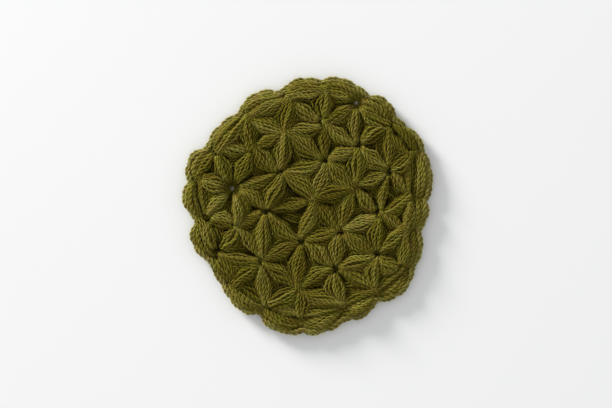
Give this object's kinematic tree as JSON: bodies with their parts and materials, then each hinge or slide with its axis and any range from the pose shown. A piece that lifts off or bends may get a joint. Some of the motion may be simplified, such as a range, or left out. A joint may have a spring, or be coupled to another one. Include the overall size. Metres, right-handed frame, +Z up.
{
  "type": "crochet coaster",
  "caption": "Flat round crochet coaster of plied yarn with puffs that meet in stars, deep hollows between them and a scalloped edge.",
  "frame": {"origin": "middle of the underside's bounding box, at table height", "axes": "+Z up out of the face that shows, +Y towards the far side of the picture, +X to its right"},
  "size_m": [0.1168, 0.1206, 0.0076],
  "materials": {
    "yarn": "soft plied yarn, olive green"
  },
  "bodies": {
    "root": {"puff_mat": "yarn"}
  },
  "joints": []
}
